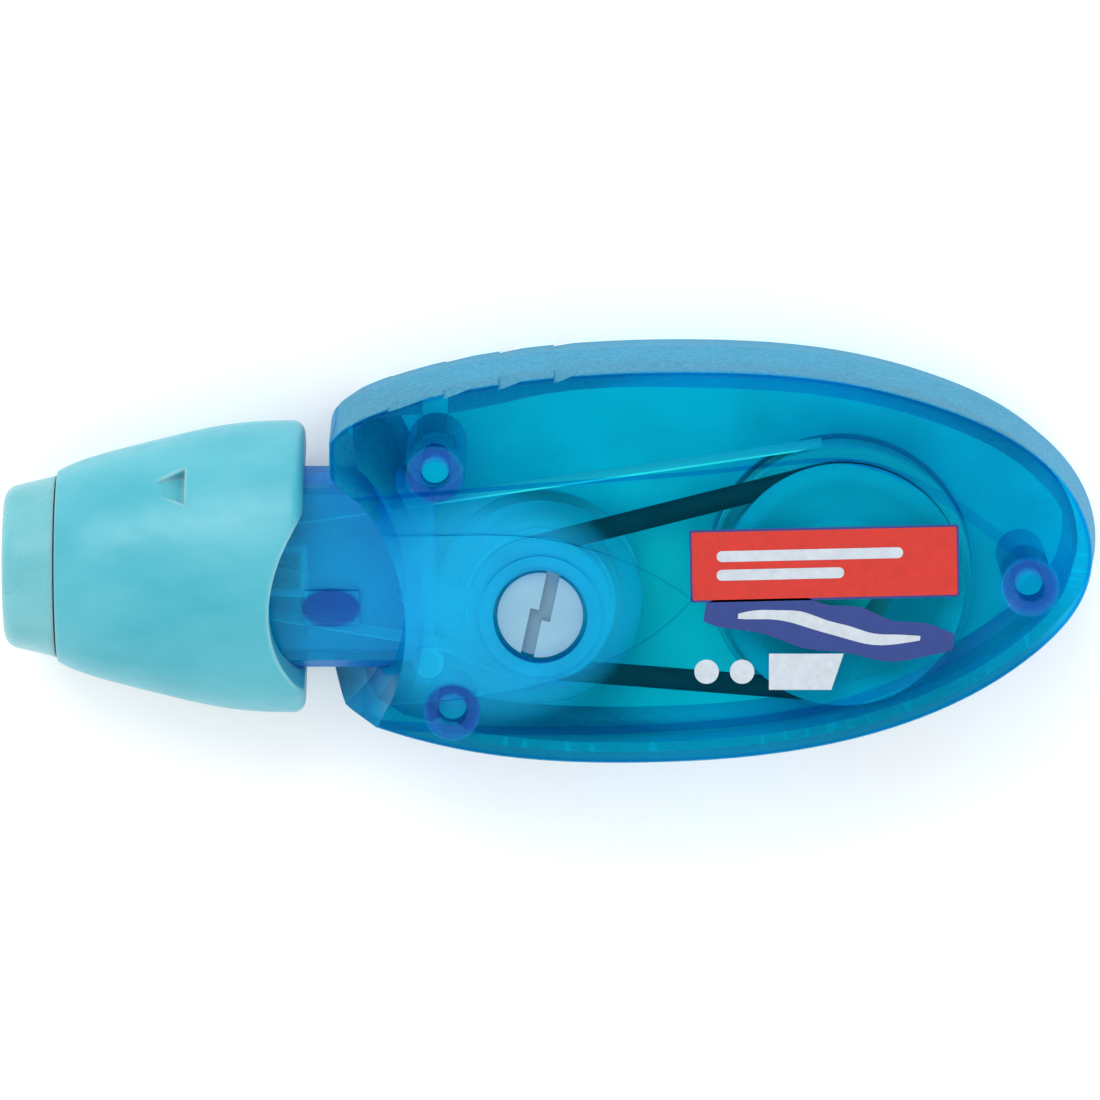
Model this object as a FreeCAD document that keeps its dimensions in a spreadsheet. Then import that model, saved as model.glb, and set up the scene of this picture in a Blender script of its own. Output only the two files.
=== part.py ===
"""Pocket correction tape dispenser with a twist cap, as a parametric FreeCAD document.

The casing lies on its back face: X runs from the nose (-X) to the tail (+X), Y runs across
the face, and Z runs through the thickness. Millimetres throughout."""

import FreeCAD
import Part
import math
import os

from FreeCAD import Rotation, Vector

doc = FreeCAD.newDocument("correction_tape")

# --- driving dimensions ------------------------------------------------------------------

DIMENSIONS = {
    # casing
    "thickness": 20.0,
    "wall": 1.5,
    "crown": 0.8,
    "face_rounding": 0.7,
    "lobe_front": -18.0,
    "casing_scoop_bottom": -11.8,
    "casing_scoop_radius": 14.0,
    "casing_scoop_tilt": 20.0,
    "window_depth": 0.5,
    "collar_radius": 5.0,
    "collar_height": 0.45,
    "rewind_hole_radius": 3.85,
    "socket_radius": 2.5,
    "pin_radius": 1.15,
    "pin_clearance": 0.05,
    "tail_socket_radius": 2.0,
    "grip_depth": 0.5,
    "grip_pitch": 4.5,
    # line of the neck, the cap and the tip
    "twist_y": -1.4,
    "neck_radius": 8.3,
    "neck_half_depth": 4.2,
    "neck_wall": 1.2,
    "neck_front": -30.0,
    "neck_rear": -9.5,
    # cap and nose
    "cap_front": -40.6,
    "cap_rear": -20.2,
    "cap_rim_round": 1.0,
    "cap_bore_radius": 8.38,
    "cap_bearing_radius": 6.38,
    "cap_scoop_bottom": -23.0,
    "cap_scoop_radius": 12.0,
    "cap_scoop_tilt": 16.0,
    "nose_front": -45.0,
    "nose_front_radius": 6.5,
    "nose_sleeve_radius": 6.3,
    "nose_rear": -34.3,
    # tip and tape
    "tape_width": 5.0,
    "tape_thick": 0.14,
    "blade_end": -44.2,
    "blade_radius": 0.45,
    # spools
    "feed_x": 24.0,
    "feed_y": -1.8,
    "take_x": -0.8,
    "take_y": -3.9,
    "feed_post_radius": 2.5,
    "take_post_radius": 2.0,
    "running": 0.06,
    "shoulder_radius": 4.2,
    "shoulder_top": 4.9,
    "core_low": 5.0,
    "flange_low": 6.5,
    "flange_thick": 0.8,
    "core_high": 13.4,
    "feed_core_radius": 5.5,
    "feed_flange_radius": 11.0,
    "roll_radius": 10.7,
    "take_core_radius": 6.2,
    "take_flange_radius": 8.4,
    "wrap_radius": 6.7,
    # belt drive
    "belt_z": 15.7,
    "belt_radius": 0.9,
    "belt_bite": 0.05,
    "pulley_flange": 0.55,
    "clutch_outer_radius": 5.0,
    "clutch_inner_radius": 3.4,
    "belt_groove_radius": 0.95,
    "feed_pitch_radius": 9.1,
    "take_pitch_radius": 5.05,
    "pulley_low": 14.2,
    "pulley_height": 3.0,
    "spindle_radius": 3.5,
    "spindle_low": 17.3,
    "spindle_top": 19.6,
}

sheet = doc.addObject("Spreadsheet::Sheet", "size")
for row, (alias, number) in enumerate(DIMENSIONS.items(), start=1):
    sheet.set(f"A{row}", alias)
    sheet.set(f"B{row}", str(number))
    sheet.setAlias(f"B{row}", alias)
doc.recompute()


def value(alias):
    """The sheet's number for one driving dimension."""
    return float(getattr(sheet, alias))


MIDDLE = value("thickness") / 2
TWIST_Y = value("twist_y")
FEED = ("feed_x", "feed_y")
TAKE = ("take_x", "take_y")
TOP_SOCKET = Vector(-9.4, 7.7, 0)
LOW_SOCKET = Vector(-8.0, -11.9, 0)
TAIL_SOCKET = Vector(39.2, -1.6, 0)
RETURN_GUIDE = Vector(-10.0, -9.0, 0)
GUIDE_PIN_RADIUS = 0.8
GUIDE_SLEEVE_RADIUS = 1.25
FAR = 60.0

nodes = []


# --- small helpers -----------------------------------------------------------------------

def bind(thing, **expressions):
    """Ties properties to formulas over the sheet: an underscore stands for a dot."""
    for name, formula in expressions.items():
        thing.setExpression(name.replace("_", "."), formula)
    return thing


def place(thing, centre, low):
    """Puts a primitive's foot at a centre named by two sheet cells, at a height formula."""
    thing.setExpression("Placement.Base.x", f"size.{centre[0]}")
    thing.setExpression("Placement.Base.y", f"size.{centre[1]}")
    thing.setExpression("Placement.Base.z", low)
    return thing


def cylinder(name, centre, low, height, radius):
    """A Part::Cylinder along Z whose place and sizes are formulas over the sheet."""
    body = doc.addObject("Part::Cylinder", name)
    bind(body, Radius=radius, Height=height)
    return place(body, centre, low)


def groove(name, centre, height, ring, radius):
    """A Part::Torus lying flat, used to cut a round belt groove."""
    ring_tool = doc.addObject("Part::Torus", name)
    bind(ring_tool, Radius1=ring, Radius2=radius)
    return place(ring_tool, centre, height)


def fuse(name, shapes):
    joined = doc.addObject("Part::MultiFuse", name)
    joined.Shapes = shapes
    return joined


def cut(name, base, tool):
    taken = doc.addObject("Part::Cut", name)
    taken.Base = base
    taken.Tool = tool
    return taken


def node(thing, label):
    """Marks a finished object as one physical piece, under its own name."""
    thing.Label = label
    nodes.append(thing)
    return thing


def free_shape(label, shape):
    """A piece whose form is made with Part's own functions."""
    piece = doc.addObject("Part::Feature", label + "_form")
    piece.Shape = shape
    return node(piece, label)


def round_bar(centre, radius, low, high):
    """A plain cylinder shape along Z between two heights."""
    foot = Vector(centre.x, centre.y, low)
    return Part.makeCylinder(radius, high - low, foot)


def block(x_range, y_range, z_range):
    """A box shape between low and high values on each axis."""
    corner = Vector(x_range[0], y_range[0], z_range[0])
    return Part.makeBox(
        x_range[1] - x_range[0], y_range[1] - y_range[0], z_range[1] - z_range[0], corner
    )


def curve_through(points):
    line = Part.BSplineCurve()
    line.interpolate(points)
    return line.toShape()


def prism(points, low, high):
    """A straight-sided solid on a polygon of (x, y) points."""
    ring = [Vector(x, y, low) for x, y in points]
    outline = Part.makePolygon(ring + ring[:1])
    return Part.Face(outline).extrude(Vector(0, 0, high - low))


# --- casing ------------------------------------------------------------------------------

def casing_outline(inset, height):
    """The almond outline at the parting plane, drawn in by inset, as a closed wire."""
    front = value("lobe_front") + (inset if inset > value("crown") else 0.0)
    top = [
        (front, 10.9), (-17.5, 11.95), (-16.2, 12.75), (-11.0, 14.6), (-1.0, 16.4),
        (12.0, 17.0), (24.0, 16.1), (33.0, 13.7), (40.0, 10.0), (43.6, 6.0), (45.0, 1.6),
    ]
    bottom = [
        (45.0, 1.6), (44.2, -2.8), (40.0, -7.8), (32.0, -12.6), (22.0, -15.6),
        (8.0, -16.92), (-6.0, -16.1), (-14.6, -13.9), (-17.3, -12.6), (front, -11.4),
    ]

    def drawn_in(x, y):
        slope = Vector((x - 12.0) / 33.0 ** 2, y / 17.0 ** 2, 0)
        slope.normalize()
        side = slope * inset
        across = max(front, x - side.x) if x > front else front
        return Vector(across, y - side.y, height)

    upper = curve_through([drawn_in(x, y) for x, y in top])
    lower = curve_through([drawn_in(x, y) for x, y in bottom])
    first = upper.Vertexes[0].Point
    last = lower.Vertexes[-1].Point
    return Part.Wire([upper, lower, Part.makeLine(last, first)])


def half_block(inset, face_height, mid_height):
    """The crowned half casing, from the parting plane to one face."""
    at_face = casing_outline(inset + value("crown"), face_height)
    at_middle = casing_outline(inset, mid_height)
    return Part.makeLoft([at_middle, at_face], True, False)


def scoop(bottom, radius, tilt, side):
    """A through bar across the twist axis. side is -1 ahead of bottom and +1 behind it."""
    lean = math.radians(tilt)
    along = Vector(0, -math.sin(lean), math.cos(lean))
    middle = Vector(bottom + side * radius, TWIST_Y, MIDDLE)
    return Part.makeCylinder(radius, 2 * FAR, middle - along * FAR, along)


def neck_bar(radius, half_depth, front, rear):
    """A round bar along X, flattened on its near and far sides."""
    bar = Part.makeCylinder(radius, rear - front, Vector(front, TWIST_Y, MIDDLE), Vector(1, 0, 0))
    sides = block((front, rear), (-FAR, FAR), (MIDDLE - half_depth, MIDDLE + half_depth))
    return bar.common(sides)


def round_face_edge(solid, face_height):
    """Rounds the edges that bound one flat face."""
    edges = [
        edge for edge in solid.Edges
        if all(abs(v.Point.z - face_height) < 1e-4 for v in edge.Vertexes)
        and abs(edge.CenterOfMass.z - face_height) < 1e-4
        and edge.Length > 2.0
    ]
    return solid.makeFillet(value("face_rounding"), edges)


def half_shell(face_height, inner_height):
    """One casing half: crowned wall, flat face and the curved front wall."""
    mid = MIDDLE
    radius = value("casing_scoop_radius")
    bottom = value("casing_scoop_bottom")
    tilt = value("casing_scoop_tilt")
    outside = round_face_edge(half_block(0.0, face_height, mid), face_height)
    outside = outside.cut(scoop(bottom, radius, tilt, -1))
    beyond = mid + (mid - inner_height) * 0.001
    inside = half_block(value("wall"), inner_height, beyond)
    wall = value("wall")
    inside = inside.cut(scoop(bottom + wall, radius + wall, tilt, -1))
    neck_gap = neck_bar(
        value("neck_radius") + 0.05, value("neck_half_depth") + 0.05, value("lobe_front") - 1, -9.0
    )
    return outside.cut(inside).cut(neck_gap)


def grip_notches(face_height, toward_middle):
    """Saw-tooth finger grips along the top edge, fading out towards the parting plane."""
    depth = value("grip_depth")
    pitch = value("grip_pitch")
    edge_line = ((-13.2, 13.3), (-8.7, 14.4), (-4.2, 15.15), (0.3, 15.7))
    tools = []
    for x, y in edge_line:
        wires = []
        near, far = face_height - 0.2 * toward_middle, face_height + 6.5 * toward_middle
        for height, lift in ((near, 0.0), (far, 1.6)):
            corners = [
                Vector(x, y - depth + lift, height),
                Vector(x + pitch - 0.3, y + 0.9 + lift, height),
                Vector(x, y + 2.0 + lift, height),
            ]
            wires.append(Part.makePolygon(corners + corners[:1]))
        tools.append(Part.makeLoft(wires, True, True))
    return tools


def window_recess(height):
    """The shallow eye-shaped panel in the near face, with a sloping edge."""
    top = [
        Vector(-22.0, 5.4, 0), Vector(-8.0, 6.6, 0), Vector(6.0, 7.7, 0), Vector(17.0, 8.7, 0),
        Vector(25.5, 9.1, 0), Vector(33.5, 5.6, 0), Vector(41.2, -0.2, 0),
    ]
    low = [
        Vector(41.2, -0.2, 0), Vector(35.0, -6.6, 0), Vector(25.0, -11.4, 0), Vector(10.0, -13.6, 0),
        Vector(-4.0, -13.9, 0), Vector(-22.0, -12.8, 0),
    ]
    middle = Vector(10.0, -1.2, 0)
    rings = []
    for shrink, level in ((0.94, height - value("window_depth")), (1.0, height + 0.1)):
        upper = curve_through([middle + (point - middle) * shrink for point in top])
        lower = curve_through([middle + (point - middle) * shrink for point in low])
        ends = Part.makeLine(lower.Vertexes[-1].Point, upper.Vertexes[0].Point)
        ring = Part.Wire([upper, lower, ends])
        ring.translate(Vector(0, 0, level))
        rings.append(ring)
    return Part.makeLoft(rings, True, True)


def fairing(low, high):
    """The leaf-shaped swelling round the rewind collar, from the front edge to a point."""
    top = [
        Vector(-22.0, 4.4, low), Vector(-8.7, 2.7, low), Vector(-1.0, 2.5, low),
        Vector(4.1, 1.3, low), Vector(11.6, -2.6, low),
    ]
    under = [
        Vector(11.6, -2.6, low), Vector(7.4, -6.2, low), Vector(-0.4, -9.5, low),
        Vector(-8.0, -10.9, low), Vector(-22.0, -11.4, low),
    ]
    upper, lower = curve_through(top), curve_through(under)
    outline = Part.Wire([upper, lower, Part.makeLine(under[-1], top[0])])
    leaf = Part.Face(outline).extrude(Vector(0, 0, high - low))
    radius = value("casing_scoop_radius")
    return leaf.cut(scoop(value("casing_scoop_bottom"), radius, value("casing_scoop_tilt"), -1))


def front_shell():
    face = value("thickness")
    inner = face - value("wall")
    shell = half_shell(face, inner)
    shell = shell.cut(window_recess(face))
    for tool in grip_notches(face, -1):
        shell = shell.cut(tool)
    spindle_centre = Vector(value("take_x"), value("take_y"), 0)
    collar_top = face + value("collar_height")
    shell = shell.fuse(round_bar(spindle_centre, value("collar_radius"), inner, collar_top))
    shell = shell.fuse(fairing(inner, face))
    hole = value("rewind_hole_radius")
    shell = shell.cut(round_bar(spindle_centre, hole, inner - 1, collar_top + 1))
    bore = value("pin_radius") + value("pin_clearance")
    sockets = (
        (TOP_SOCKET, value("socket_radius")),
        (LOW_SOCKET, value("tail_socket_radius")),
        (TAIL_SOCKET, value("tail_socket_radius")),
    )
    for centre, radius in sockets:
        shell = shell.fuse(round_bar(centre, radius, MIDDLE, inner + 0.2))
    rib_width = 2.1
    rib = block(
        (TOP_SOCKET.x - rib_width / 2, TOP_SOCKET.x + rib_width / 2),
        (TOP_SOCKET.y, 13.6), (MIDDLE + 3.0, inner + 0.2),
    )
    shell = shell.fuse(rib)
    for centre, radius in sockets:
        shell = shell.cut(round_bar(centre, bore, MIDDLE - 1, inner - 0.5))
    free_shape("front_shell", shell.removeSplitter())


def back_shell():
    wall = value("wall")
    shell = half_shell(0.0, wall)
    for tool in grip_notches(0.0, 1):
        shell = shell.cut(tool)
    posts = (
        (Vector(value("feed_x"), value("feed_y"), 0), value("feed_post_radius"), 17.9),
        (Vector(value("take_x"), value("take_y"), 0), value("take_post_radius"), 13.0),
    )
    for centre, radius, top in posts:
        shell = shell.fuse(round_bar(centre, value("shoulder_radius"), wall - 0.2, value("shoulder_top")))
        shell = shell.fuse(round_bar(centre, radius, wall - 0.2, top))
    shell = shell.fuse(round_bar(RETURN_GUIDE, GUIDE_PIN_RADIUS, wall - 0.2, 13.2))
    shell = shell.fuse(round_bar(RETURN_GUIDE, GUIDE_SLEEVE_RADIUS, wall - 0.2, 7.0))
    stubs = (
        (TOP_SOCKET, value("socket_radius")),
        (LOW_SOCKET, value("tail_socket_radius")),
        (TAIL_SOCKET, value("tail_socket_radius")),
    )
    for centre, radius in stubs:
        shell = shell.fuse(round_bar(centre, radius, wall - 0.2, MIDDLE))
        shell = shell.fuse(round_bar(centre, value("pin_radius"), MIDDLE - 1, MIDDLE + 6.5))
    free_shape("back_shell", shell.removeSplitter())


def return_guide_sleeve():
    low, high = 7.05, 12.95
    sleeve = round_bar(RETURN_GUIDE, GUIDE_SLEEVE_RADIUS, low, high)
    free_shape("guide_sleeve", sleeve.cut(round_bar(RETURN_GUIDE, GUIDE_PIN_RADIUS, low, high)))


# --- neck, tip and tape ------------------------------------------------------------------

def neck_sleeve():
    """The flattened tube that carries the cap, with lugs that lock it behind the front wall."""
    front, rear = value("neck_front"), value("neck_rear")
    radius, half, wall = value("neck_radius"), value("neck_half_depth"), value("neck_wall")
    tube = neck_bar(radius, half, front, rear)
    lugs = neck_bar(radius + 0.6, half + 1.0, rear - 0.8, rear)
    key = block((-20.2, -15.7), (TWIST_Y - 4.2, TWIST_Y - 1.3), (MIDDLE + half - 0.5, MIDDLE + half + 0.5))
    sleeve = tube.fuse(lugs).fuse(key)
    sleeve = sleeve.cut(neck_bar(radius - wall, half - wall, front - 1, rear + 1))
    room = value("socket_radius") + 0.3
    sleeve = sleeve.cut(round_bar(TOP_SOCKET, room, -1, 30))
    sleeve = sleeve.cut(round_bar(RETURN_GUIDE, GUIDE_SLEEVE_RADIUS + 0.35, -1, 30))
    free_shape("neck_sleeve", sleeve.removeSplitter())


def applicator():
    """The stiff arm held in the neck, and the soft blade that presses the tape on."""
    half = value("tape_width") / 2 + 0.2
    end, edge = value("blade_end"), value("blade_radius")
    low, high = MIDDLE - half, MIDDLE + half
    y = TWIST_Y
    join = end + 3.2
    arm = prism(
        [
            (-20.0, y - 2.2), (-20.0, y + 2.2), (-28.0, y + 1.7), (join, y + 0.5),
            (join, y - 0.5), (-28.0, y - 1.7),
        ],
        low, high,
    )
    inner_half = value("neck_half_depth") - value("neck_wall")
    foot = block((-27.5, -20.5), (y - 1.5, y + 1.5), (MIDDLE - inner_half, MIDDLE + inner_half))
    free_shape("tip_arm", arm.fuse(foot).removeSplitter())
    blade = prism(
        [(join, y - 0.5), (join, y + 0.5), (end + edge, y + edge), (end + edge, y - edge)], low, high
    )
    nib = round_bar(Vector(end + edge, y, 0), edge, low, high)
    free_shape("tip_blade", blade.fuse(nib).removeSplitter())


def tangent_line(first, first_radius, second, second_radius, first_side, second_side):
    """The straight run touching two circles; a side of +1 is the left of the way along."""
    way = second.sub(first)
    swing = math.asin((first_side * first_radius - second_side * second_radius) / way.Length)
    heading = math.atan2(way.y, way.x) - swing
    left = Vector(-math.sin(heading), math.cos(heading), 0)
    return first + left * (first_side * first_radius), second + left * (second_side * second_radius)


def ribbon(label, runs):
    """A thin flat tape standing on edge, made of straight runs and arcs of (start, end)."""
    half = value("tape_width") / 2
    thick = value("tape_thick")
    pieces = []
    for start, end in runs:
        way = end.sub(start)
        left = Vector(-way.y, way.x, 0).normalize() * (thick / 2)
        corners = [start + left, end + left, end - left, start - left]
        pieces.append(prism([(c.x, c.y) for c in corners], MIDDLE - half, MIDDLE + half))
    tape = pieces[0]
    if len(pieces) > 1:
        tape = tape.fuse(pieces[1:]).removeSplitter()
    free_shape(label, tape)


def arc_runs(centre, radius, start_angle, end_angle, count):
    """Chords round a circle, as runs for a ribbon."""
    points = []
    for step in range(count + 1):
        angle = math.radians(start_angle + (end_angle - start_angle) * step / count)
        points.append(centre + Vector(math.cos(angle), math.sin(angle), 0) * radius)
    return list(zip(points[:-1], points[1:]))


def tape_runs():
    """Fresh tape from the roll over the blade, and used carrier back to the take-up core."""
    half_thick = value("tape_thick") / 2
    nose = Vector(value("blade_end") + value("blade_radius"), TWIST_Y, 0)
    lap = value("blade_radius") + half_thick + 0.03
    feed = Vector(value("feed_x"), value("feed_y"), 0)
    take = Vector(value("take_x"), value("take_y"), 0)
    on_roll, on_blade = tangent_line(feed, value("roll_radius") + half_thick + 0.05, nose, lap, -1, -1)
    heading = math.degrees(math.atan2(on_blade.y - nose.y, on_blade.x - nose.x))
    supply = [(on_roll, on_blade)] + arc_runs(nose, lap, heading, 180.0, 4)
    ribbon("supply_tape", supply)
    around = GUIDE_SLEEVE_RADIUS + half_thick + 0.03
    off_blade, on_guide = tangent_line(nose, lap, RETURN_GUIDE, around, -1, 1)
    off_guide, on_core = tangent_line(
        RETURN_GUIDE, around, take, value("wrap_radius") + half_thick + 0.05, 1, -1
    )
    leave = math.degrees(math.atan2(off_blade.y - nose.y, off_blade.x - nose.x)) + 360.0
    reach = math.degrees(math.atan2(on_guide.y - RETURN_GUIDE.y, on_guide.x - RETURN_GUIDE.x))
    quit_angle = math.degrees(math.atan2(off_guide.y - RETURN_GUIDE.y, off_guide.x - RETURN_GUIDE.x))
    back = arc_runs(nose, lap, 181.0, leave, 4) + [(off_blade, on_guide)]
    back += arc_runs(RETURN_GUIDE, around, reach, quit_angle, 4) + [(off_guide, on_core)]
    ribbon("return_tape", back)


# --- spools and belt drive ---------------------------------------------------------------

def spool(name, centre, core_radius, flange_radius, bore):
    """A core with its lower flange in one piece, and the loose upper flange ring."""
    core = cylinder(name + "_tube", centre, "size.core_low", "size.core_high - size.core_low", core_radius)
    flange = cylinder(name + "_disc", centre, "size.flange_low", "size.flange_thick", flange_radius)
    hole = cylinder(name + "_bore", centre, "size.core_low - 1", "size.core_high", bore)
    node(cut(name + "_body", fuse(name + "_solid", [core, flange]), hole), name + "_core")
    upper = cylinder(
        name + "_upper_disc", centre, "size.core_high - size.flange_thick + 0.1",
        "size.flange_thick - 0.1", flange_radius,
    )
    seat = cylinder(name + "_upper_seat", centre, "size.flange_low", "size.core_high", core_radius)
    node(cut(name + "_upper_ring", upper, seat), name + "_upper_flange")


def wound_tape(label, centre, core_radius, outer_radius):
    """Tape wound on a core between its flanges, as one closed ring."""
    low, width = "thickness / 2 - size.tape_width / 2", "size.tape_width"
    roll = cylinder(label + "_outside", centre, "size." + low, width, outer_radius)
    core = cylinder(label + "_inside", centre, "size.core_low", "size.core_high", core_radius)
    node(cut(label + "_ring", roll, core), label)


def pulley(label, centre, pitch, bore):
    """A pulley with a round groove for the belt, and a flange each side that keeps it there."""
    middle = cylinder(
        label + "_middle", centre, "size.pulley_low", "size.pulley_height", pitch + " + size.belt_bite"
    )
    flange = pitch + " + size.belt_radius"
    upper_low = "size.pulley_low + size.pulley_height - size.pulley_flange"
    upper = cylinder(label + "_upper_flange", centre, upper_low, "size.pulley_flange", flange)
    lower = cylinder(label + "_lower_flange", centre, "size.pulley_low", "size.pulley_flange", flange)
    wheel = fuse(label + "_wheel", [middle, upper, lower])
    channel = groove(label + "_channel", centre, "size.belt_z", pitch, "size.belt_groove_radius")
    hole = cylinder(label + "_bore", centre, "size.pulley_low - 1", "size.pulley_height + 2", bore)
    return cut(label + "_wheel_bored", cut(label + "_grooved", wheel, channel), hole)


def spools():
    feed_bore = "size.feed_post_radius + size.running"
    take_bore = "size.take_post_radius + size.running"
    spool("feed", FEED, "size.feed_core_radius", "size.feed_flange_radius", feed_bore)
    spool("take_up", TAKE, "size.take_core_radius", "size.take_flange_radius", take_bore)
    wound_tape("tape_roll", FEED, "size.feed_core_radius", "size.roll_radius")
    wound_tape("used_carrier", TAKE, "size.take_core_radius", "size.wrap_radius")


def belt_drive():
    feed_bore = "size.feed_post_radius + size.running"
    take_bore = "size.take_post_radius + 0.6"
    node(pulley("feed_pulley", FEED, "size.feed_pitch_radius", feed_bore), "feed_pulley")
    node(pulley("take_up_pulley", TAKE, "size.take_pitch_radius", take_bore), "take_up_pulley")

    clutch_low, clutch_height = "size.core_high + 0.1", "size.pulley_low - size.core_high - 0.2"
    ring = cylinder("clutch_outside", FEED, clutch_low, clutch_height, "size.clutch_outer_radius")
    hole = cylinder("clutch_inside", FEED, "size.core_high - 1", "3", "size.clutch_inner_radius")
    gap = doc.addObject("Part::Box", "clutch_gap")
    bind(gap, Length="7", Width="1.2", Height="3")
    bind(gap, Placement_Base_x="size.feed_x", Placement_Base_y="size.feed_y - 0.6")
    bind(gap, Placement_Base_z="size.core_high - 1")
    node(cut("clutch_split", cut("clutch_ring_full", ring, hole), gap), "slip_clutch_ring")

    clip_low = "size.pulley_low + size.pulley_height + 0.12"
    clip = cylinder("feed_clip_disc", FEED, clip_low, "0.5", "4")
    clip_hole = cylinder("feed_clip_hole", FEED, clip_low + " - 1", "3", "size.feed_post_radius")
    node(cut("feed_clip_ring", clip, clip_hole), "feed_retaining_clip")

    feed = Vector(value("feed_x"), value("feed_y"), value("belt_z"))
    take = Vector(value("take_x"), value("take_y"), value("belt_z"))
    big, small = value("feed_pitch_radius"), value("take_pitch_radius")
    way = feed.sub(take)
    tilt = math.degrees(math.asin((big - small) / way.Length))
    level = math.degrees(math.atan2(way.y, way.x))
    up, down = math.radians(level + 90 + tilt), math.radians(level - 90 - tilt)

    def rim(centre, radius, angle):
        return centre + Vector(math.cos(angle), math.sin(angle), 0) * radius

    behind = math.radians(level + 180)
    ahead = math.radians(level)
    path = Part.Wire([
        Part.makeLine(rim(take, small, up), rim(feed, big, up)),
        Part.Arc(rim(feed, big, up), rim(feed, big, ahead), rim(feed, big, down)).toShape(),
        Part.makeLine(rim(feed, big, down), rim(take, small, down)),
        Part.Arc(rim(take, small, down), rim(take, small, behind), rim(take, small, up)).toShape(),
    ])
    start = path.Edges[0].Vertexes[0].Point
    along = path.Edges[0].Vertexes[1].Point.sub(start)
    section = Part.Wire([Part.makeCircle(value("belt_radius"), start, along)])
    free_shape("drive_belt", path.makePipeShell([section], True, False))


def rewind_spindle():
    """The slotted white knob on the take-up pulley, turned with a coin to take up slack."""
    knob_height = "size.spindle_top - size.spindle_low"
    knob = cylinder("spindle_knob", TAKE, "size.spindle_low", knob_height, "size.spindle_radius")
    stem_height = "size.spindle_low - size.core_high"
    stem_radius = "size.take_post_radius + 0.6"
    stem = cylinder("spindle_stem", TAKE, "size.core_high + 0.1", stem_height, stem_radius)
    solid = fuse("spindle_solid", [knob, stem])
    x, y = value("take_x"), value("take_y")
    slots = []
    for name, turn in (("first", 0.0), ("second", 180.0)):
        half_slot = doc.addObject("Part::Box", f"slot_{name}")
        bind(half_slot, Length="1.1", Width="4", Height="2")
        foot = Rotation(Vector(0, 0, 1), turn - 12).multVec(Vector(-0.2, -0.4, 0))
        lift = value("spindle_top") - 1.2
        half_slot.Placement = FreeCAD.Placement(
            Vector(x, y, lift) + foot, Rotation(Vector(0, 0, 1), turn - 12)
        )
        slots.append(half_slot)
    node(cut("spindle_slotted", solid, fuse("spindle_slot", slots)), "rewind_spindle")


# --- nose and cap ------------------------------------------------------------------------

def x_bar(radius, front, rear):
    """A round bar on the twist axis."""
    return Part.makeCylinder(radius, rear - front, Vector(front, TWIST_Y, MIDDLE), Vector(1, 0, 0))


def x_cone(front_radius, rear_radius, front, rear):
    return Part.makeCone(
        front_radius, rear_radius, rear - front, Vector(front, TWIST_Y, MIDDLE), Vector(1, 0, 0)
    )


def nose_guard():
    """The mouthpiece. It slides with the cap but doesn't turn, so its mouth stays level."""
    front, shoulder = value("nose_front"), value("cap_front") - 0.15
    rear, sleeve = value("nose_rear"), value("nose_sleeve_radius")
    head = x_cone(value("nose_front_radius"), 7.5, front, shoulder)
    rim = [edge for edge in head.Edges if edge.BoundBox.XMax < front + 0.01]
    head = head.makeFillet(1.3, rim)
    guard = head.fuse(x_bar(sleeve, shoulder - 0.5, rear))
    guard = guard.fuse(x_bar(sleeve + 0.55, -35.9, -35.1))
    half = value("tape_width") / 2 + 0.7
    across, through = (TWIST_Y - 3.6, TWIST_Y + 3.6), (MIDDLE - half, MIDDLE + half)
    guard = guard.cut(block((front + 1.8, rear + 1), across, through))
    guard = guard.cut(block((front - 1, front + 3), (TWIST_Y - 1.9, TWIST_Y + 1.9), through))
    free_shape("nose_guard", guard.removeSplitter())


def ellipse_ring(x, half_height, half_depth):
    """An upright ellipse across the twist axis."""
    long_axis = Vector(0, half_height, 0)
    centre = Vector(x, TWIST_Y, MIDDLE)
    oval = Part.Ellipse(centre + long_axis, centre + Vector(0, 0, half_depth), centre)
    return Part.Wire([oval.toShape()])


def twist_cap():
    front, rear = value("cap_front"), value("cap_rear")
    profile = (
        (front, 7.9, 7.8), (-38.0, 9.0, 8.7), (-34.0, 10.1, 9.2), (-30.0, 11.1, 9.5),
        (-26.0, 11.85, 9.7), (-22.5, 12.1, 9.75), (rear, 12.1, 9.75),
    )
    shell = Part.makeLoft([ellipse_ring(*ring) for ring in profile], True, False)
    rim = [edge for edge in shell.Edges if edge.BoundBox.XMin > rear - 0.01]
    shell = shell.makeFillet(value("cap_rim_round"), rim)
    shell = shell.cut(x_bar(value("cap_bearing_radius"), front - 1, -30.0))
    shell = shell.cut(x_bar(7.1, -36.0, -30.0))
    shell = shell.cut(x_bar(value("cap_bore_radius"), -34.6, rear + 1))
    shell = shell.cut(
        scoop(value("cap_scoop_bottom"), value("cap_scoop_radius"), value("cap_scoop_tilt"), 1)
    )
    for turn in (0.0, 180.0):
        shell = shell.cut(thumb_notch(turn))
    free_shape("twist_cap", shell.removeSplitter())


def thumb_notch(turn):
    """An arrow-shaped ramp in the cap, deepest at its upright rear wall."""
    tip, wall_x, depth, half = -33.6, -29.9, 0.75, 1.7
    surface = 10.1
    floor = surface - depth
    low = [Vector(tip, 0, surface + 0.3), Vector(wall_x, half, floor), Vector(wall_x, -half, floor)]
    high = [Vector(point.x, point.y, surface + 4) for point in low]
    wires = [Part.makePolygon(ring + ring[:1]) for ring in (low, high)]
    tool = Part.makeLoft(wires, True, True)
    tool.rotate(Vector(0, 0, 0), Vector(1, 0, 0), -49.0 + turn)
    tool.translate(Vector(0, TWIST_Y, MIDDLE))
    return tool


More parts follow.
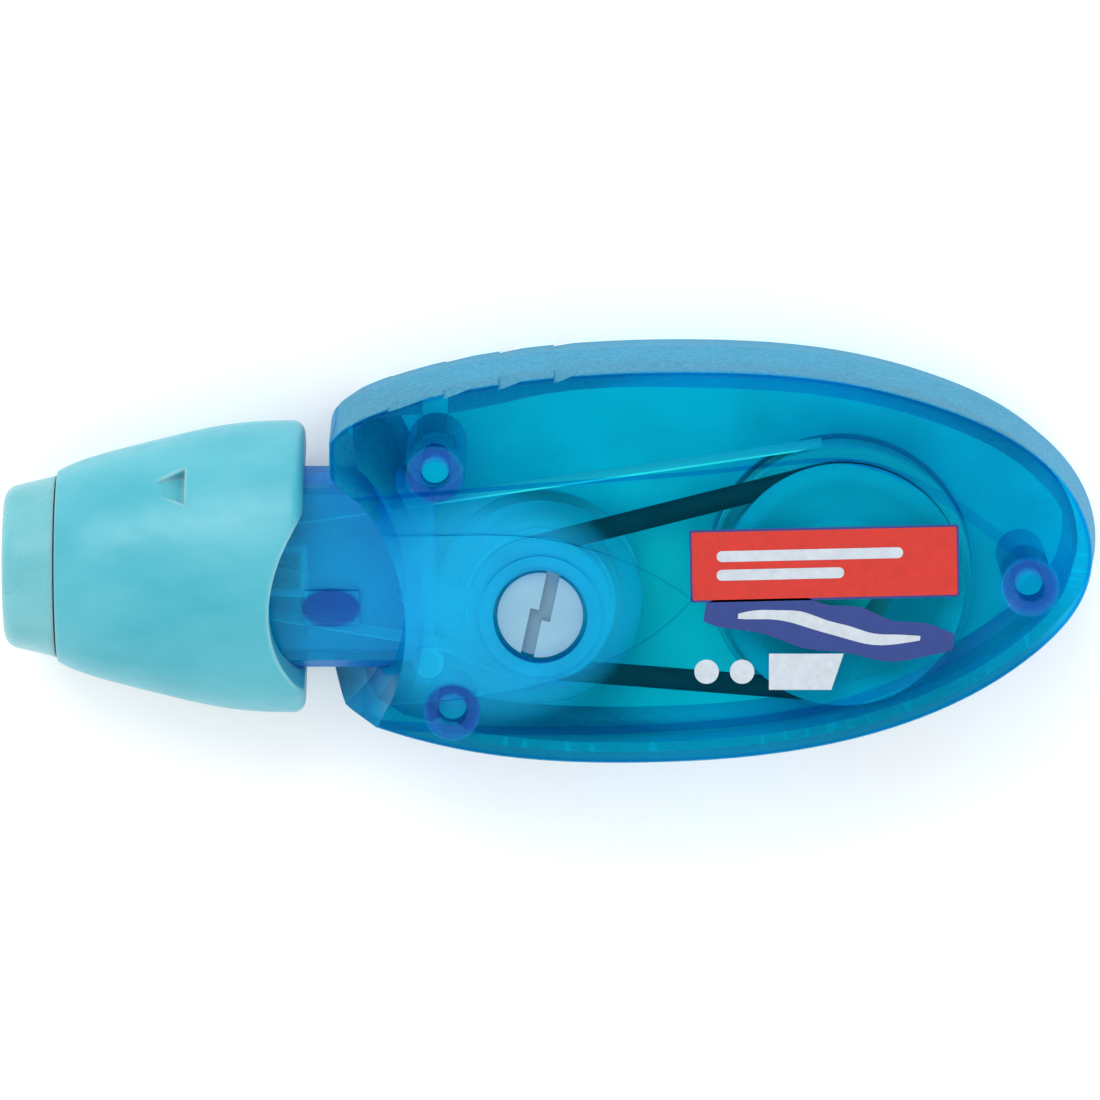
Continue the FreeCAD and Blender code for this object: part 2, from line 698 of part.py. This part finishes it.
def detent_spring():
    """A bowed leaf on the neck's far flat that drags on the cap's bore."""
    base = MIDDLE - value("neck_half_depth")
    y = (TWIST_Y - 2.0, TWIST_Y + 2.0)
    feet = block((-29.0, -21.0), y, (base - 0.35, base))
    rise = block((-25.8, -24.2), y, (base - 3.3, base - 0.35))
    free_shape("detent_spring", feet.fuse(rise).removeSplitter())


# --- build, check and write --------------------------------------------------------------

front_shell()
back_shell()
return_guide_sleeve()
neck_sleeve()
applicator()
tape_runs()
spools()
belt_drive()
rewind_spindle()
nose_guard()
twist_cap()
detent_spring()
doc.recompute()

for thing in doc.Objects:
    if {"Invalid", "Error"} & set(thing.State):
        raise RuntimeError(f"{thing.Name} did not recompute: {thing.State}")

os.makedirs("parts", exist_ok=True)
for piece in nodes:
    if piece.Shape.isNull() or not piece.Shape.isValid():
        raise RuntimeError(f"{piece.Label} has no valid shape")
    piece.Shape.exportStep(f"parts/{piece.Label}.step")
    box = piece.Shape.optimalBoundingBox()
    print(
        f"{piece.Label}: {len(piece.Shape.Solids)} solid, {piece.Shape.Volume:.1f} mm3, "
        f"x {box.XMin:.1f}..{box.XMax:.1f} y {box.YMin:.1f}..{box.YMax:.1f} z {box.ZMin:.1f}..{box.ZMax:.1f}"
    )
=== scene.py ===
# %% [markdown]
# # A pocket correction tape, seen from above
# The casing, spools, belt and twist cap were drawn in CAD and arrive as finished meshes.
# This lesson gives them their plastics, adds the printing, lights them and sets the camera.
# Everything is in metres, in the frame that the CAD model uses: X runs from the nose to
# the tail, Y across the face, and Z up through the thickness.

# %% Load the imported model
import bpy
import bmesh
import math
from mathutils import Matrix, Vector


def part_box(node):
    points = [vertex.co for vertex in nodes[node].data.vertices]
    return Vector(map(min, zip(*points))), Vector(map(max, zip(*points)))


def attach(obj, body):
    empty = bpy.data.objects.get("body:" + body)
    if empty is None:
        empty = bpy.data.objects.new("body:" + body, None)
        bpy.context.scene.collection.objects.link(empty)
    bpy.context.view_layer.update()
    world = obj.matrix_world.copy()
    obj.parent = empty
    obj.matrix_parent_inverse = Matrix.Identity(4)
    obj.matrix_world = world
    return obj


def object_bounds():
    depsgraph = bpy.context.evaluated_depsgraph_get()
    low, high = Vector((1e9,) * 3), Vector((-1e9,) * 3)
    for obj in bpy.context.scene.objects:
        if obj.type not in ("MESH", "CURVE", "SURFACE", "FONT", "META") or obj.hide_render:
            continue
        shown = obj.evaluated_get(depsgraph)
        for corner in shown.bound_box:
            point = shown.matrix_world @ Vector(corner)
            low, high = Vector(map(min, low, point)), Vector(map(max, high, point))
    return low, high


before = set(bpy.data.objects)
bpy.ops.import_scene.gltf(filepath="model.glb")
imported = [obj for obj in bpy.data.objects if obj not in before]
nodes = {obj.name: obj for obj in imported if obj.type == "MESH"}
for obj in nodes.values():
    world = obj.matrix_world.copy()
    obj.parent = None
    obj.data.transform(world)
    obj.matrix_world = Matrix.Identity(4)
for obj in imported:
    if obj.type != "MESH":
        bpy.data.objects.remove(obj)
cad_box = [list(corner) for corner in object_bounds()]
MM = 0.001
print("nodes in the frame:", len(nodes))

# %% [markdown]
# ## Helpers for shader nodes
# A moulded plastic is one Principled shader with small procedural touches: a little
# clouding of the pigment, a fine grain in the surface, and a change of roughness. Writing
# these once as helpers keeps every material below short enough to read at a glance.


# %% Shader helpers
class Finish:
    """A material under construction, with short calls for the nodes it needs."""

    def __init__(self, name):
        self.material = bpy.data.materials.new(name)
        self.material.use_nodes = True
        self.tree = self.material.node_tree
        self.tree.nodes.clear()
        self.output = self.add("ShaderNodeOutputMaterial")
        self.place = self.add("ShaderNodeTexCoord").outputs["Object"]

    def add(self, kind, **settings):
        node = self.tree.nodes.new(kind)
        for name, setting in settings.items():
            setattr(node, name, setting)
        return node

    def link(self, start, end):
        self.tree.links.new(start, end)

    def noise(self, scale, detail=3.0, roughness=0.5, stretch=(1, 1, 1)):
        """Noise in object space; scale is in features per metre."""
        where = self.add("ShaderNodeMapping")
        where.inputs["Scale"].default_value = stretch
        self.link(self.place, where.inputs["Vector"])
        noise = self.add("ShaderNodeTexNoise")
        noise.inputs["Scale"].default_value = scale
        noise.inputs["Detail"].default_value = detail
        noise.inputs["Roughness"].default_value = roughness
        self.link(where.outputs["Vector"], noise.inputs["Vector"])
        return noise.outputs["Fac"]

    def spread(self, factor, low, high, start=0.3, end=0.7):
        """Maps a factor between start and end onto low to high."""
        node = self.add("ShaderNodeMapRange")
        node.inputs["From Min"].default_value = start
        node.inputs["From Max"].default_value = end
        node.inputs["To Min"].default_value = low
        node.inputs["To Max"].default_value = high
        self.link(factor, node.inputs["Value"])
        return node.outputs["Result"]

    def blend(self, factor, first, second):
        """Mixes two colours, given as tuples or sockets."""
        node = self.add("ShaderNodeMix", data_type="RGBA")
        if isinstance(factor, float):
            node.inputs["Factor"].default_value = factor
        else:
            self.link(factor, node.inputs["Factor"])
        for socket, colour in ((node.inputs[6], first), (node.inputs[7], second)):
            if isinstance(colour, tuple):
                socket.default_value = (*colour, 1.0)
            else:
                self.link(colour, socket)
        return node.outputs[2]

    def distance(self, centre, reach):
        """Distance from an upright line through centre, in units of reach."""
        fitted = self.add("ShaderNodeMapping")
        fitted.inputs["Location"].default_value = (-centre.x / reach.x, -centre.y / reach.y, 0.0)
        fitted.inputs["Scale"].default_value = (1 / reach.x, 1 / reach.y, 0.0)
        self.link(self.place, fitted.inputs["Vector"])
        length = self.add("ShaderNodeVectorMath", operation="LENGTH")
        self.link(fitted.outputs["Vector"], length.inputs[0])
        return length.outputs["Value"]

    def soft_edges(self, radius):
        """Normals rounded at sharp edges, and a factor that is 1 along those edges."""
        rounded = self.add("ShaderNodeBevel", samples=6)
        rounded.inputs["Radius"].default_value = radius
        sharp = self.add("ShaderNodeNewGeometry").outputs["True Normal"]
        agree = self.add("ShaderNodeVectorMath", operation="DOT_PRODUCT")
        self.link(rounded.outputs["Normal"], agree.inputs[0])
        self.link(sharp, agree.inputs[1])
        edge = self.spread(agree.outputs["Value"], 1.0, 0.0, 0.72, 0.97)
        return rounded.outputs["Normal"], edge

    def bump(self, height, depth, strength=1.0, base=None):
        node = self.add("ShaderNodeBump")
        if base is not None:
            self.link(base, node.inputs["Normal"])
        node.inputs["Strength"].default_value = strength
        node.inputs["Distance"].default_value = depth
        self.link(height, node.inputs["Height"])
        return node.outputs["Normal"]

    def maths(self, operation, first, second):
        node = self.add("ShaderNodeMath", operation=operation)
        for socket, number in zip(node.inputs, (first, second)):
            if isinstance(number, (int, float)):
                socket.default_value = number
            else:
                self.link(number, socket)
        return node.outputs[0]

    def plastic(self, colour, roughness, normal=None, **extras):
        """A Principled shader; colour and roughness may be values or sockets."""
        shader = self.add("ShaderNodeBsdfPrincipled")
        given = {"Base Color": colour, "Roughness": roughness, **extras}
        for name, setting in given.items():
            socket = shader.inputs[name]
            if isinstance(setting, bpy.types.NodeSocket):
                self.link(setting, socket)
            elif isinstance(setting, tuple) and len(setting) == 3 and socket.type == "RGBA":
                socket.default_value = (*setting, 1.0)
            else:
                socket.default_value = setting
        if normal is not None:
            self.link(normal, shader.inputs["Normal"])
        return shader.outputs["BSDF"]

    def finish(self, shader):
        self.link(shader, self.output.inputs["Surface"])
        return self.material


# %% [markdown]
# ## Clear blue casing
# The casing is tinted styrene: light passes through it, loses its red, and comes back
# from the desk below. True refraction needs many samples to light the spools inside, so
# each wall is a tinted Transparent shader, mixed with a thin glossy skin of the same blue.
# The tint follows the slope of the surface. Level walls are thin and clear. The rounded
# crown is seen through more plastic, so it darkens to a deep blue line. The outer upright
# sides are spark-eroded in the mould, so they get a pale frosted grain. Posts inside stand
# upright too, and a test of the distance from the middle keeps the frost off them.


# %% The casing's clear plastic
def clear_blue(name, passes, deep, skin, frost, node, solid=0.10, thick=None, dark=()):
    """passes and deep tint the light; skin and frost are the colours of the surface.

    thick is (centre, reach, inner, outer, share): an oval patch where the wall is thicker.
    dark lists (centre, reach, hole): places seen end-on, as ovals, or rings round a hole, painted with a
    deep-blue shade."""
    make = Finish(name)
    normal = make.add("ShaderNodeNewGeometry").outputs["Normal"]
    slope = make.add("ShaderNodeSeparateXYZ")
    make.link(normal, slope.inputs[0])
    level = make.maths("ABSOLUTE", slope.outputs["Z"], 0.0)
    low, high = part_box(node)
    outward = make.distance((low + high) / 2, (high - low) / 2)
    outside = make.spread(outward, 0.0, 1.0, 0.86, 0.92)
    not_front = make.spread(slope.outputs["X"], 0.0, 1.0, -0.85, -0.6)
    upright = make.spread(level, 1.0, 0.0, 0.4, 0.7)
    frosted = make.maths("MULTIPLY", make.maths("MULTIPLY", upright, outside), not_front)
    inner_wall = make.maths("SUBTRACT", upright, frosted)
    crown = make.spread(level, 1.0, 0.0, 0.80, 0.985)
    grain = make.maths("MULTIPLY", make.noise(5200.0, 2.0, 0.7), frosted)
    height = make.maths("ADD", grain, make.maths("MULTIPLY", make.noise(90.0, 2.0), 0.2))
    cloud = make.spread(make.noise(160.0, 4.0), 0.0, 1.0)
    surface = make.blend(cloud, skin, tuple(channel * 1.25 for channel in skin))
    # Painted shade: upright walls without frost, inside the casing and at the nose end, turn blue, deep near
    # the middle and lighter near the edge.
    inner_wall_shade = make.blend(
        make.spread(outward, 0.0, 1.0, 0.72, 0.84), (0.0, 0.05, 0.32), (0.0, 0.52, 0.82)
    )
    surface = make.blend(inner_wall, surface, inner_wall_shade)
    sparkle = make.spread(make.noise(2400.0, 4.0, 0.8), 0.0, 1.0, 0.4, 0.66)
    icy = tuple(min(1.0, channel * 1.6 + 0.02) for channel in frost)
    surface = make.blend(frosted, surface, make.blend(sparkle, frost, icy))
    # Painted shade: the places listed in dark turn deep blue.
    for centre, reach, hole in dark:
        within = make.spread(make.distance(centre, reach), 1.0, 0.0, 0.94, 1.06)
        surface = make.blend(within, surface, (0.0, 0.09, 0.40))
    roughness = make.spread(frosted, 0.14, 0.5, 0.0, 1.0)
    shine = make.plastic(
        surface, roughness, make.bump(height, 0.00003), **{"Specular IOR Level": 0.35}
    )
    clear = make.add("ShaderNodeBsdfTransparent")
    make.link(make.blend(crown, passes, deep), clear.inputs["Color"])
    share = make.spread(frosted, solid, 0.72, 0.0, 1.0)
    share = make.maths("MAXIMUM", share, make.maths("MULTIPLY", inner_wall, 0.34))
    if thick is not None:
        centre, reach, inner, outer, amount = thick
        patch = make.spread(make.distance(centre, reach), amount, 0.0, inner, outer)
        share = make.maths("MAXIMUM", share, patch)
    # Over the painted shade the glossy skin is thickened so that its deep blue shows.
    for centre, reach, hole in dark:
        away = make.distance(centre, reach)
        within = make.spread(away, 1.0, 0.0, 0.94, 1.06)
        past_hole = make.spread(away, 0.0, 1.0, hole - 0.08, hole + 0.08)
        share = make.maths("MAXIMUM", share, make.maths(
            "MULTIPLY", make.maths("MULTIPLY", within, past_hole), 0.5
        ))
    shadow = make.add("ShaderNodeLightPath").outputs["Is Shadow Ray"]
    share = make.maths("MULTIPLY", share, make.spread(shadow, 1.0, 0.15, 0.0, 1.0))
    mix = make.add("ShaderNodeMixShader")
    make.link(share, mix.inputs["Fac"])
    make.link(clear.outputs[0], mix.inputs[1])
    make.link(shine, mix.inputs[2])
    return make.finish(mix.outputs[0])


def spool_centre(node):
    low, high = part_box(node)
    return (low + high) / 2


feed_centre = spool_centre("feed_core")
take_centre = spool_centre("take_up_core")
SOCKETS = ((-9.4, 7.7), (-8.0, -11.9), (39.2, -1.6))
RING = Vector((2.3 * MM, 2.3 * MM, 1.0))
rings = [(Vector((x * MM, y * MM, 0.0)), RING, 0.5) for x, y in SOCKETS]
key = (Vector((-18.0 * MM, -4.2 * MM, 0.0)), Vector((2.4 * MM, 1.6 * MM, 1.0)), -1.0)
casing_blue = clear_blue(
    "casing_clear_blue", (0.40, 0.980, 0.984), (0.06, 0.62, 0.93),
    (0.0, 0.37, 0.68), (0.012, 0.21, 0.31), "front_shell", 0.022,
    (take_centre + Vector((-5.0 * MM, 0.5 * MM, 0)), Vector((1.5 * MM, 1.15 * MM, 1.0)), 5.4, 9.0, 0.40), rings,
)
# Painted light: the back shell gets a bright cyan skin over most of its surface. It stands for the desk's light
# coming up through the casing and covers the floor's shadow beneath it.
casing_back = clear_blue(
    "casing_back_painted_light", (0.40, 0.980, 0.984), (0.06, 0.62, 0.93),
    (0.0, 0.86, 0.86), (0.012, 0.21, 0.31), "front_shell", 0.6,
)
neck_blue = clear_blue(
    "neck_clear_blue", (0.30, 0.90, 0.98), (0.03, 0.45, 0.85),
    (0.0, 0.36, 0.68), (0.0, 0.2, 0.55), "neck_sleeve", 0.38, None, [key],
)
flange_clear = clear_blue(
    "spool_flange_clear", (0.80, 0.97, 0.99), (0.4, 0.8, 0.9),
    (0.0, 0.50, 0.74), (0.1, 0.4, 0.6), "feed_upper_flange", 0.18,
)
pulley_clear = clear_blue(
    "pulley_clear", (0.55, 0.96, 0.99), (0.3, 0.75, 0.92),
    (0.0, 0.40, 0.60), (0.1, 0.4, 0.6), "feed_pulley", 0.45,
)
print("clear plastics:", casing_blue.name, casing_back.name, neck_blue.name, flange_clear.name)

# %% [markdown]
# ## Milky cap and nose
# The cap holds back more light: pigment scatters it just under the skin. Subsurface
# scattering with a radius near the wall's own thickness gives that soft, waxy look, and
# slow noise stands for the uneven mixing that a milky moulding shows.


# %% The cap's milky plastic
def milky(name, deep, pale, roughness, radius):
    make = Finish(name)
    cloud = make.spread(make.noise(110.0, 4.0, 0.55, (1.0, 1.8, 1.8)), 0.0, 1.0)
    colour = make.blend(cloud, deep, pale)
    soft, edge = make.soft_edges(0.7 * MM)
    # Painted highlight: sharp edges are lightened towards a pale teal, as if they caught the light.
    edge_highlight = tuple(channel * 0.5 + 0.42 for channel in pale)
    colour = make.blend(make.maths("MULTIPLY", edge, 0.55), colour, edge_highlight)
    grain = make.noise(4200.0, 2.0)
    flow = make.noise(260.0, 3.0, 0.5, (0.3, 1.0, 1.0))
    height = make.maths("ADD", make.maths("MULTIPLY", grain, 0.5), flow)
    rough = make.spread(make.noise(700.0), roughness - 0.05, roughness + 0.08)
    shader = make.plastic(
        colour, rough, make.bump(height, 0.000012, base=soft),
        **{
            "Subsurface Weight": 0.55, "Subsurface Radius": (0.4, 0.9, 1.0),
            "Subsurface Scale": radius, "Specular IOR Level": 0.45,
        },
    )
    return make.finish(shader)


# The cap's teal is deeper and bluer than the nose's: painted, for the blue neck showing through the cap.
cap_teal = milky("cap_milky_teal", (0.035, 0.34, 0.42), (0.08, 0.40, 0.48), 0.34, 0.0018)
nose_teal = milky("nose_milky_teal", (0.09, 0.37, 0.42), (0.15, 0.44, 0.49), 0.3, 0.0018)


# %% [markdown]
# ## Opaque mouldings, rubber, tape and steel
# The pieces inside are seen through blue, so their own colours only need to be pale or
# dark. Each still gets the mark of how it's made: a fine mottle and grain on moulded pieces,
# layer edges on wound tape, a dusty bloom on rubber, and brushing along a steel leaf.


# %% Finishes for the inner pieces
def moulded(name, colour, roughness, mottle=0.12):
    make = Finish(name)
    lighter = tuple(min(1.0, channel * (1 + mottle) + 0.01) for channel in colour)
    shade = make.blend(make.spread(make.noise(300.0, 4.0), 0.0, 1.0), colour, lighter)
    height = make.noise(2600.0, 3.0)
    rough = make.spread(make.noise(500.0), roughness - 0.06, roughness + 0.08)
    shader = make.plastic(shade, rough, make.bump(height, 0.00001))
    return make.finish(shader)


def wound(name, colour, gap_colour, centre, pitch):
    """Tape on a core: fine rings about the spool's own axis."""
    make = Finish(name)
    radius = make.distance(centre, Vector((1.0, 1.0, 1.0)))
    waves = make.maths("SINE", make.maths("MULTIPLY", radius, 2 * math.pi / pitch), 0.0)
    uneven = make.maths("MULTIPLY", make.noise(900.0), 0.8)
    rings = make.spread(make.maths("ADD", waves, uneven), 0.0, 1.0, -0.6, 1.6)
    shade = make.blend(rings, gap_colour, colour)
    shader = make.plastic(shade, 0.6, make.bump(rings, 0.00002))
    return make.finish(shader)


def rubber(name):
    make = Finish(name)
    bloom = make.spread(make.noise(700.0, 5.0), 0.0, 1.0, 0.45, 0.8)
    shade = make.blend(bloom, (0.002, 0.003, 0.005), (0.010, 0.013, 0.018))
    height = make.noise(3500.0)
    shader = make.plastic(shade, 0.6, make.bump(height, 0.00002), **{"Specular IOR Level": 0.12})
    return make.finish(shader)


def brushed(name):
    make = Finish(name)
    lines = make.noise(9000.0, 2.0, 0.5, (0.02, 1.0, 1.0))
    shade = make.blend(lines, (0.42, 0.43, 0.45), (0.62, 0.63, 0.65))
    rough = make.spread(lines, 0.2, 0.42)
    shader = make.plastic(shade, rough, make.bump(lines, 0.000006), Metallic=1.0)
    return make.finish(shader)


spindle_white = moulded("spindle_white", (0.17, 0.34, 0.46), 0.22, 0.1)
core_pale = moulded("core_pale_blue", (0.12, 0.42, 0.60), 0.4)
core_deep = moulded("core_deep_blue", (0.01, 0.16, 0.34), 0.4)
arm_white = moulded("arm_white", (0.80, 0.84, 0.86), 0.4, 0.04)
edge_soft = moulded("tip_soft_edge", (0.70, 0.74, 0.76), 0.65, 0.05)
clip_grey = moulded("clip_grey", (0.10, 0.14, 0.18), 0.45)
# Painted shade: the wound tape and used carrier get darker, bluer colours than the same tape where it runs
# free.
tape_wound = wound("tape_on_roll", (0.62, 0.72, 0.74), (0.36, 0.52, 0.58), feed_centre, 0.00018)
carrier_wound = wound("carrier_on_core", (0.40, 0.52, 0.56), (0.22, 0.36, 0.42), take_centre, 0.00016)
tape_white = moulded("tape_white", (0.85, 0.85, 0.83), 0.75, 0.04)
belt_black = rubber("belt_black_rubber")
steel = brushed("spring_steel")

# %% [markdown]
# ## Give each piece its finish
# The CAD meshes stay exactly as they are. Only the material in their slots changes, from
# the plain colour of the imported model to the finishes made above.

# %% Assign the finishes
FINISHES = {
    "front_shell": casing_blue, "back_shell": casing_back, "neck_sleeve": neck_blue,
    "twist_cap": cap_teal, "nose_guard": nose_teal, "rewind_spindle": spindle_white,
    "take_up_core": core_pale, "feed_core": core_deep, "take_up_upper_flange": flange_clear,
    "feed_upper_flange": flange_clear, "feed_pulley": pulley_clear, "take_up_pulley": pulley_clear,
    "slip_clutch_ring": edge_soft, "feed_retaining_clip": clip_grey, "drive_belt": belt_black,
    "tape_roll": tape_wound, "used_carrier": carrier_wound, "supply_tape": tape_white,
    "return_tape": tape_white, "tip_arm": arm_white, "tip_blade": edge_soft,
    "guide_sleeve": arm_white, "detent_spring": steel,
}
for name, finish in FINISHES.items():
    slots = nodes[name].material_slots
    for slot in slots:
        slot.material = finish
print("pieces given a finish:", len(FINISHES))

# %% [markdown]
# ## Printing on the near face
# Real pad printing is a film of ink a few hundredths of a millimetre thick. Each patch is
# a flat outline, extruded by that much and laid just above the sunken panel. The marks
# are plain shapes: a red panel with white bars, a dark blue swash and a slanted white
# block, and they carry no lettering.


# %% Ink patches
shell_low, shell_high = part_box("front_shell")
spindle_low, spindle_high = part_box("rewind_spindle")
collar_height, window_depth = 0.45 * MM, 0.5 * MM
PANEL_TOP = shell_high.z - collar_height - window_depth
INK = 0.03 * MM


def ink(name, colour, roughness=0.35):
    make = Finish(name)
    mottled = tuple(channel * 0.86 for channel in colour)
    shade = make.blend(make.spread(make.noise(1500.0, 4.0), 0.0, 1.0), colour, mottled)
    shader = make.plastic(shade, roughness, make.bump(make.noise(6000.0), 0.000004))
    return make.finish(shader)


ink_red = ink("ink_red", (0.50, 0.013, 0.004))
ink_white = ink("ink_white", (0.46, 0.52, 0.58))
ink_navy = ink("ink_navy", (0.006, 0.03, 0.19))


def rounded_outline(half_width, half_height, radius, steps=5):
    points = []
    for quarter, (sx, sy) in enumerate(((1, 1), (-1, 1), (-1, -1), (1, -1))):
        for step in range(steps + 1):
            angle = math.pi / 2 * (quarter + step / steps)
            points.append(
                (
                    sx * (half_width - radius) + radius * math.cos(angle),
                    sy * (half_height - radius) + radius * math.sin(angle),
                )
            )
    return points


def ink_patch(name, outline, centre, layer, finish, turn=0.0):
    """A flat patch of ink. layer counts the films of ink under it."""
    mesh = bpy.data.meshes.new(name)
    build = bmesh.new()
    low = PANEL_TOP + 0.01 * MM + layer * INK
    place = Matrix.Translation((centre[0], centre[1], low)) @ Matrix.Rotation(turn, 4, "Z")
    ring = [build.verts.new(place @ Vector((x, y, 0))) for x, y in outline]
    face = build.faces.new(ring)
    raised = bmesh.ops.extrude_face_region(build, geom=[face])
    top = [part for part in raised["geom"] if isinstance(part, bmesh.types.BMVert)]
    bmesh.ops.translate(build, verts=top, vec=(0, 0, INK))
    bmesh.ops.recalc_face_normals(build, faces=build.faces)
    build.to_mesh(mesh)
    build.free()
    mesh.materials.append(finish)
    patch = bpy.data.objects.new(name, mesh)
    bpy.context.scene.collection.objects.link(patch)
    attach(patch, "casing")
    return patch


LABEL = (22.4 * MM, 0.35 * MM)
TILT = math.radians(1.3)
ink_patch("label_border", rounded_outline(11.0 * MM, 3.0 * MM, 0.2 * MM), LABEL, 0, ink_navy, TILT)
ink_patch("label_panel", rounded_outline(10.8 * MM, 2.8 * MM, 0.12 * MM), LABEL, 1, ink_red, TILT)
for number, (shift_x, shift_y, half) in enumerate(((-1.2, 0.75, 7.6), (-3.6, -0.85, 5.2))):
    spot = (LABEL[0] + shift_x * MM, LABEL[1] + shift_y * MM)
    bar = rounded_outline(half * MM, 0.45 * MM, 0.42 * MM)
    ink_patch(f"label_bar_{number + 1}", bar, spot, 2, ink_white, TILT)


def swash(length, thick, sag, count=24):
    """A brush stroke: a band that swells in the middle and bends a little."""
    upper, lower = [], []
    for step in range(count + 1):
        along = step / count
        x = (along - 0.5) * length
        bend = sag * math.sin(along * 2 * math.pi)
        half = thick * (0.18 + 0.32 * math.sin(math.pi * along) ** 0.7)
        upper.append((x, bend + half * (1.0 + 0.12 * math.sin(along * 23))))
        lower.append((x, bend - half * (1.0 + 0.1 * math.sin(along * 17 + 1))))
    return lower + upper[::-1]


SWASH = (22.8 * MM, -4.9 * MM)
ink_patch("swash_navy", swash(20.5 * MM, 4.0 * MM, 0.35 * MM), SWASH, 0, ink_navy, math.radians(-7))
ink_patch("swash_stroke", swash(15.0 * MM, 1.1 * MM, 0.5 * MM), SWASH, 1, ink_white, math.radians(-7))
BLOCK = (20.8 * MM, -8.6 * MM)
slanted = [(-2.9 * MM, -1.5 * MM), (2.2 * MM, -1.5 * MM), (3.2 * MM, 1.5 * MM), (-2.9 * MM, 1.5 * MM)]
ink_patch("tape_mark", slanted, BLOCK, 0, ink_white)
for number in range(2):
    spot = (BLOCK[0] + (-8.0 + 2.9 * number) * MM, BLOCK[1])
    ink_patch(f"mark_dot_{number + 1}", rounded_outline(1.0 * MM, 1.0 * MM, 0.99 * MM, 8), spot, 0, ink_white)
print("ink patches lie at", round(PANEL_TOP / MM, 3), "mm")

# %% [markdown]
# ## Floor and light
# A pale floor, one large soft lamp above the top edge, a broad fill and a bright world
# give the even light of a product table. The floor lies a hair below the flat back, so the
# two never share a plane, and it lets the light through when it's looked at from below.


# %% Floor and lamps
def floor():
    mesh = bpy.data.meshes.new("floor")
    size = 1.5
    low = cad_box[0][2] - 0.1 * MM
    corners = [(-size, -size, low), (size, -size, low), (size, size, low), (-size, size, low)]
    mesh.from_pydata(corners, [], [(0, 1, 2, 3)])
    make = Finish("floor_pale")
    shade = make.blend(make.spread(make.noise(4.0), 0.0, 1.0), (0.94, 0.94, 0.94), (0.96, 0.96, 0.96))
    seen_below = make.add("ShaderNodeNewGeometry").outputs["Backfacing"]
    mix = make.add("ShaderNodeMixShader")
    make.link(seen_below, mix.inputs["Fac"])
    make.link(make.plastic(shade, 0.9), mix.inputs[1])
    make.link(make.add("ShaderNodeBsdfTransparent").outputs[0], mix.inputs[2])
    mesh.materials.append(make.finish(mix.outputs[0]))
    plane = bpy.data.objects.new("floor", mesh)
    bpy.context.scene.collection.objects.link(plane)


def lamp(name, place, size, power, aim=(0.0, 0.0, 0.0)):
    data = bpy.data.lights.new(name, "AREA")
    data.shape = "RECTANGLE"
    data.size, data.size_y = size
    data.energy = power
    light = bpy.data.objects.new(name, data)
    light.location = place
    light.rotation_euler = (Vector(aim) - Vector(place)).to_track_quat("-Z", "Y").to_euler()
    bpy.context.scene.collection.objects.link(light)


floor()
lamp("key_softbox", (-0.15, 0.45, 0.55), (0.5, 0.35), 2.2)
lamp("fill_softbox", (0.35, -0.4, 0.5), (0.5, 0.5), 0.6)
world = bpy.data.worlds.new("studio")
world.use_nodes = True
world.node_tree.nodes["Background"].inputs["Color"].default_value = (1.0, 1.0, 1.0, 1.0)
world.node_tree.nodes["Background"].inputs["Strength"].default_value = 1.12
bpy.context.scene.world = world
bpy.context.scene.view_settings.view_transform = "Standard"

# %% [markdown]
# ## Camera
# The camera looks down on the near face, tipped nine degrees towards the top edge, so that
# the frosted side shows as a narrow band. A long lens keeps the sides parallel.

# %% Camera
TIP = math.radians(9.0)
DISTANCE = 0.8
FIELD = 0.0908
camera_data = bpy.data.cameras.new("camera")
camera_data.sensor_width = 36.0
camera_data.lens = camera_data.sensor_width * DISTANCE / FIELD
camera_data.clip_start, camera_data.clip_end = 0.05, 10.0
camera = bpy.data.objects.new("camera", camera_data)
low, high = (Vector(corner) for corner in cad_box)
target = Vector((0.0, 0.0, (low.z + high.z) / 2))
camera.location = target + DISTANCE * Vector((0.0, math.sin(TIP), math.cos(TIP)))
camera.rotation_euler = (-TIP, 0.0, 0.0)
bpy.context.scene.collection.objects.link(camera)
bpy.context.scene.camera = camera
print("camera at", [round(value, 3) for value in camera.location])
